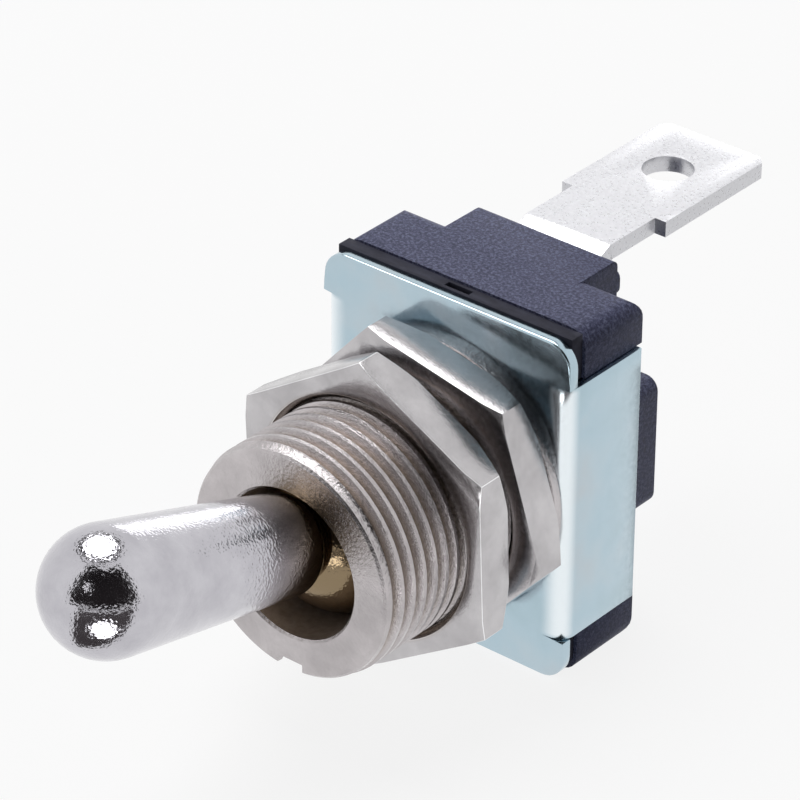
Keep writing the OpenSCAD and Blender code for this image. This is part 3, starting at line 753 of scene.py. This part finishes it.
# ---------------------------------------------------------------------------------------
# Upper terminal: one strip of tinned brass. Inside the case it stands upright behind the
# rocker's contact; outside it steps up and widens to a blade with chamfered end corners.
strip_t, neck_x, inner_top = 0.85 * MM, 2.5 * MM, 8.4 * MM
strip_f, blade_end, blade_x, blade_top = strip_low[1], strip_high[1], strip_high[0], strip_high[2]
rise_y, step_y, blade_y = 8.13 * MM, 9.28 * MM, 12.83 * MM
hole_y, contact_z, strip_end = blade_end - 3.9 * MM, 4.6 * MM, strip_low[2]
hole_r, rivet_r, blade_cut = 1.3 * MM, 0.5 * MM, 0.45 * MM
fold_r, blade_edge = 0.12 * MM, 0.16 * MM
bpy.ops.object.select_all(action="DESELECT")
bpy.ops.mesh.primitive_plane_add(size=1, location=(0, (blade_y + blade_end) / 2, blade_top))
blade = bpy.context.object
blade.scale = (2 * blade_x, blade_end - blade_y, 1)
settle(blade, "upper_blade")
start_edit(blade)
for side in (-1, 1):
    bpy.ops.mesh.select_all(action="SELECT")
    bpy.ops.mesh.bisect(plane_co=(side * neck_x, 0, 0), plane_no=(1, 0, 0))
pick(blade, "verts", lambda co: near(co.y, blade_end) and near(abs(co.x), blade_x))
bpy.ops.mesh.bevel(affect="VERTICES", offset=blade_cut, segments=1)
pick(blade, "edges", lambda co: near(co.y, blade_y) and abs(co.x) < neck_x + slack)
for step in ((0, step_y - blade_y, 0), (0, rise_y - step_y, inner_top - blade_top),
             (0, strip_f - rise_y, 0), (0, 0, strip_end - inner_top)):
    bpy.ops.mesh.extrude_region_move(TRANSFORM_OT_translate={"value": step})
for place in (step_y, rise_y):
    pick(blade, "edges", lambda co: near(co.y, place))
    bpy.ops.mesh.bevel(offset=fold_r, segments=3, profile=0.5)
bpy.ops.mesh.select_all(action="SELECT")
bpy.ops.mesh.normals_make_consistent(inside=False)
end_edit()
if max(blade.data.polygons, key=lambda face: face.center.y).normal.z < 0:
    turn_over(blade)
modify(blade, "SOLIDIFY", thickness=strip_t, offset=-1, use_even_offset=True)
combine(blade, rod("punch", hole_r, punch_l, "z", 64, (0, hole_y, blade_top)), "DIFFERENCE")
combine(blade, rod("punch", rivet_r, punch_l, "y", 64, (0, strip_f, contact_z)), "DIFFERENCE")
soften(blade, blade_edge, 3)


def matt_tin():
    """Dull tin over brass with a very fine even grain."""
    material, nodes, links, shader = finish_nodes("matt_tin")
    grain = noise_at(nodes, links, 6000, 3, roughness=0.6)
    links.new(ramp_of(nodes, links, grain, (0.3, (0.76, 0.76, 0.79)), (0.7, (0.87, 0.87, 0.90))),
              shader.inputs["Base Color"])
    shader.inputs["Metallic"].default_value = 0.6
    links.new(range_of(nodes, links, grain, 0.26, 0.34), shader.inputs["Roughness"])
    bump_from(nodes, links, shader, grain, 0.3, 0.03 * MM)
    return material


tin = matt_tin()
dress(blade, tin)
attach(blade, "switch")
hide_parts("upper_terminal")
dress(frame["nodes"]["lower_terminal"], tin)

# ---------------------------------------------------------------------------------------
# Inner pieces: steel pin, plunger and spring, brass retainer, rocker and cradle, and the silver
# faced contacts. They work inside the bushing and the case; the real spring shortens as the
# plunger goes in, but here it keeps its length and rides with the lever.


def bright_metal(name, tone, roughness):
    """A bright, slightly cloudy metal for the pieces that work inside."""
    material, nodes, links, shader = finish_nodes(name)
    cloud = noise_at(nodes, links, 1500, 3)
    links.new(ramp_of(nodes, links, cloud, (0.3, tuple(c * 0.85 for c in tone)), (0.7, tone)),
              shader.inputs["Base Color"])
    shader.inputs["Metallic"].default_value = 1.0
    links.new(range_of(nodes, links, cloud, roughness, roughness + 0.12),
              shader.inputs["Roughness"])
    return material


steel = bright_metal("bright_steel", (0.58, 0.58, 0.60), 0.25)
brass = bright_metal("bare_brass", (0.72, 0.52, 0.26), 0.3)
silver = bright_metal("contact_silver", (0.84, 0.83, 0.80), 0.3)
for material, nodes_of in ((steel, ("pivot_pin", "plunger")),
                           (brass, ("pin_retainer", "rocker", "cradle")),
                           (silver, ("moving_contact", "fixed_contact"))):
    for node in nodes_of:
        dress(frame["nodes"][node], material)

spring = bpy.data.objects.new("wound_spring", frame["nodes"]["plunger_spring"].data.copy())
bpy.context.scene.collection.objects.link(spring)
start_edit(spring)
bpy.ops.mesh.select_all(action="SELECT")
bpy.ops.mesh.remove_doubles(threshold=0.0005 * MM)
end_edit()
bpy.ops.object.shade_smooth_by_angle(angle=math.radians(50))
dress(spring, steel)
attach(spring, "lever")
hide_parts("plunger_spring")
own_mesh(spring)

# ---------------------------------------------------------------------------------------
# Studio: a pale floor under the switch, a white room with a dark screen behind the viewer,
# a large soft lamp overhead and smaller ones at the front and low at the left rear.
floor_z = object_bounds()[0][2] - 0.05 * MM
bpy.ops.object.select_all(action="DESELECT")
bpy.ops.mesh.primitive_plane_add(size=6, location=(0, 0, floor_z))
floor = settle(bpy.context.object, "floor")


def white_to_view(nodes, links, shaded, output, share=1.0):
    """Shows plain white in metal, and to the viewer by a share; the rest is the shaded one."""
    rays = nodes.new("ShaderNodeLightPath").outputs
    white = nodes.new("ShaderNodeEmission")
    seen = worked_out(nodes, links, "MULTIPLY", rays["Is Camera Ray"], share)
    for kind in ("Is Glossy Ray", "Is Transmission Ray"):
        seen = worked_out(nodes, links, "MAXIMUM", seen, rays[kind])
    mix = nodes.new("ShaderNodeMixShader")
    links.new(seen, mix.inputs["Fac"])
    links.new(shaded, mix.inputs[1])
    links.new(white.outputs["Emission"], mix.inputs[2])
    links.new(mix.outputs["Shader"], output)


floor_look, nodes, links, shader = finish_nodes("studio_floor")
rays = nodes.new("ShaderNodeLightPath").outputs
paper = nodes.new("ShaderNodeMix")
paper.data_type = "RGBA"
paper.inputs["A"].default_value = (0.36, 0.36, 0.36, 1)
paper.inputs["B"].default_value = (1, 1, 1, 1)
links.new(rays["Is Camera Ray"], paper.inputs["Factor"])
links.new(paper.outputs["Result"], shader.inputs["Base Color"])
shader.inputs["Roughness"].default_value = 0.9
white_to_view(nodes, links, shader.outputs["BSDF"], nodes["Material Output"].inputs["Surface"],
              0.86)
dress(floor, floor_look)

world = bpy.data.worlds.new("room")
bpy.context.scene.world = world
world.use_nodes = True
nodes, links = world.node_tree.nodes, world.node_tree.links
room = nodes["Background"]
room.inputs["Color"].default_value = (0.95, 0.97, 1.0, 1)
room.inputs["Strength"].default_value = 0.13
white_to_view(nodes, links, room.outputs["Background"], nodes["World Output"].inputs["Surface"])

# the dark screen is a patch of a shell round the switch, seen only in polished metal
screen_r, half_width, lowest, highest = 0.9, 58, 2, 66
bpy.ops.object.select_all(action="DESELECT")
bpy.ops.mesh.primitive_uv_sphere_add(segments=72, ring_count=48, radius=screen_r)
screen = bpy.context.object
start_edit(screen, "FACE")
mesh = bmesh.from_edit_mesh(screen.data)
for face in mesh.faces:
    way = face.calc_center_median().normalized()
    turn = math.degrees(math.atan2(way.x, -way.y)) - math.degrees(azimuth)
    rise = math.degrees(math.asin(way.z))
    face.select_set(abs(turn) > half_width or not lowest < rise < highest)
bmesh.update_edit_mesh(screen.data)
bpy.ops.mesh.delete(type="FACE")
end_edit()
settle(screen, "dark_screen")
cloth, nodes, links, shader = finish_nodes("screen_cloth")
shader.inputs["Base Color"].default_value = (0.10, 0.085, 0.088, 1)
shader.inputs["Roughness"].default_value = 1.0

# a dark hood round the overhead lamp, a little behind it
overhead_at = Vector((-0.17, 0.08, 0.46))
hood_size, hood_band, hood_behind = (0.50, 0.66), 0.13, 1.01
bpy.ops.object.select_all(action="DESELECT")
bpy.ops.mesh.primitive_circle_add(vertices=96, radius=0.5, fill_type="NGON")
hood = bpy.context.object
start_edit(hood, "FACE")
bpy.ops.mesh.select_all(action="SELECT")
bpy.ops.mesh.inset(thickness=hood_band)
bpy.ops.mesh.delete(type="FACE")
end_edit()
hood.scale = (*hood_size, 1)
hood.rotation_euler = (-overhead_at).to_track_quat("-Z", "Y").to_euler()
hood.location = overhead_at * hood_behind
settle(hood, "lamp_hood")

# a dark card on the floor ahead of the lever, and on it a small glowing disc that is no lamp:
# both are seen only in reflections, and the disc paints a highlight on the lever's rounded end
card_at, card_size = (0.206, -0.240, floor_z + 0.4 * MM), 0.42
bpy.ops.object.select_all(action="DESELECT")
bpy.ops.mesh.primitive_grid_add(x_subdivisions=2, y_subdivisions=2, size=1, location=card_at)
card = bpy.context.object
card.scale = (card_size, card_size, 1)
settle(card, "floor_card")
glint_at, glint_size, glint_turn = (0.0175, -0.0464, floor_z + 0.8 * MM), (0.009, 0.015), 35.6
bpy.ops.object.select_all(action="DESELECT")
bpy.ops.mesh.primitive_circle_add(vertices=48, radius=1, fill_type="NGON", location=glint_at,
                                  rotation=(0, 0, math.radians(glint_turn)))
glint = bpy.context.object
glint.scale = (*glint_size, 1)
settle(glint, "floor_glint")
shine, nodes, links, shader = finish_nodes("glint_light")
shader.inputs["Base Color"].default_value = (0, 0, 0, 1)
shader.inputs["Emission Color"].default_value = (1, 1, 1, 1)
shader.inputs["Emission Strength"].default_value = 4.0
dress(glint, shine)
for thing in (screen, hood, card):
    dress(thing, cloth)
for thing in (screen, hood, card, glint):
    thing.visible_camera = thing.visible_diffuse = thing.visible_shadow = False


def lamp(name, place, width, length, radiance):
    """An oval lamp that faces the switch; radiance is its brightness as metal shows it."""
    data = bpy.data.lights.new(name, "AREA")
    data.shape = "ELLIPSE"
    data.size, data.size_y = width, length
    data.energy = radiance * math.pi * math.pi * width * length / 4
    light = bpy.data.objects.new(name, data)
    bpy.context.scene.collection.objects.link(light)
    light.location = place
    light.rotation_euler = (-Vector(place)).to_track_quat("-Z", "Y").to_euler()


lamp("overhead", overhead_at, 0.34, 0.44, 4.2)
lamp("front", (0.04, -0.46, 0.29), 0.10, 0.10, 1.6)
lamp("left_rear", (-0.20, 0.41, 0.085), 0.22, 0.13, 1.75)

bpy.context.scene.view_settings.view_transform = "Standard"
